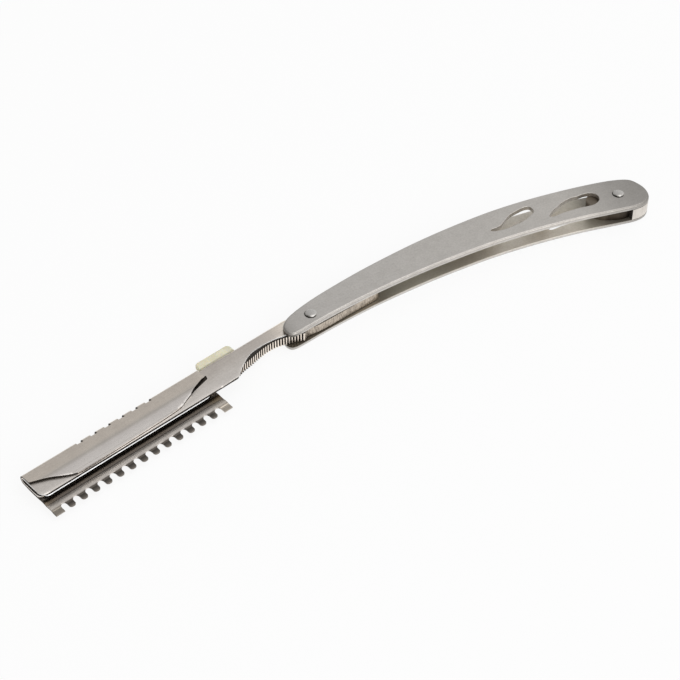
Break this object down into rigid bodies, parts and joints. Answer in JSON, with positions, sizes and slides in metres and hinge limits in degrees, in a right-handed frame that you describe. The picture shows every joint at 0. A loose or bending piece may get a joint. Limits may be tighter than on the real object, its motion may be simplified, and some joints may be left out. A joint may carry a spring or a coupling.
{
  "type": "replaceable blade straight razor",
  "caption": "Folding straight razor with a disposable blade in a folded steel sleeve, a comb guard, a thumb-ribbed tang and a bellied two-plate steel handle with leaf windows.",
  "frame": {"origin": "point on the outer face of the rear scale, 60 mm behind the pivot along the line of the rivets and 7 mm toward the convex side", "axes": "+X from the pivot rivet to the tail rivet, +Y toward the convex side of the handle, +Z from the rear scale to the near scale"},
  "size_m": [0.2358, 0.0474, 0.008],
  "materials": {
    "satin_steel": "satin, brushed along the handle",
    "spacer_steel": "satin",
    "rivet_steel": "polished domes",
    "tang_steel": "satin, ribbed thumb edge",
    "sleeve_steel": "bright satin sheet",
    "guard_steel": "bright satin sheet",
    "cream_plastic": "smooth moulded",
    "blade_steel": "ground edge"
  },
  "bodies": {
    "handle": {"near_scale": "satin_steel", "rear_scale": "satin_steel", "tail_spacer": "spacer_steel", "pivot_rivet": "rivet_steel", "tail_rivet": "rivet_steel"},
    "head": {"tang_bar": "tang_steel", "blade_sleeve": "sleeve_steel"},
    "guard": {"comb_guard": "guard_steel"},
    "slider": {"blade_slider": "cream_plastic"},
    "blade": {"razor_blade": "blade_steel"}
  },
  "joints": [
    {"name": "fold", "type": "hinge", "parent": "handle", "child": "head", "pos_m": [-0.06, -0.007, 0.0037], "axis": [0, 0, 1], "range_deg": [-100, 167.4]},
    {"name": "guard_lift", "type": "slide", "parent": "head", "child": "guard", "axis": [-0.2062, 0.9785, 0], "range_m": [0, 0.02]},
    {"name": "blade_lock", "type": "slide", "parent": "head", "child": "slider", "axis": [0.9785, 0.2062, 0], "range_m": [0, 0.005]},
    {"name": "blade_change", "type": "slide", "parent": "head", "child": "blade", "axis": [0.2062, -0.9785, 0], "range_m": [0, 0.015]}
  ]
}
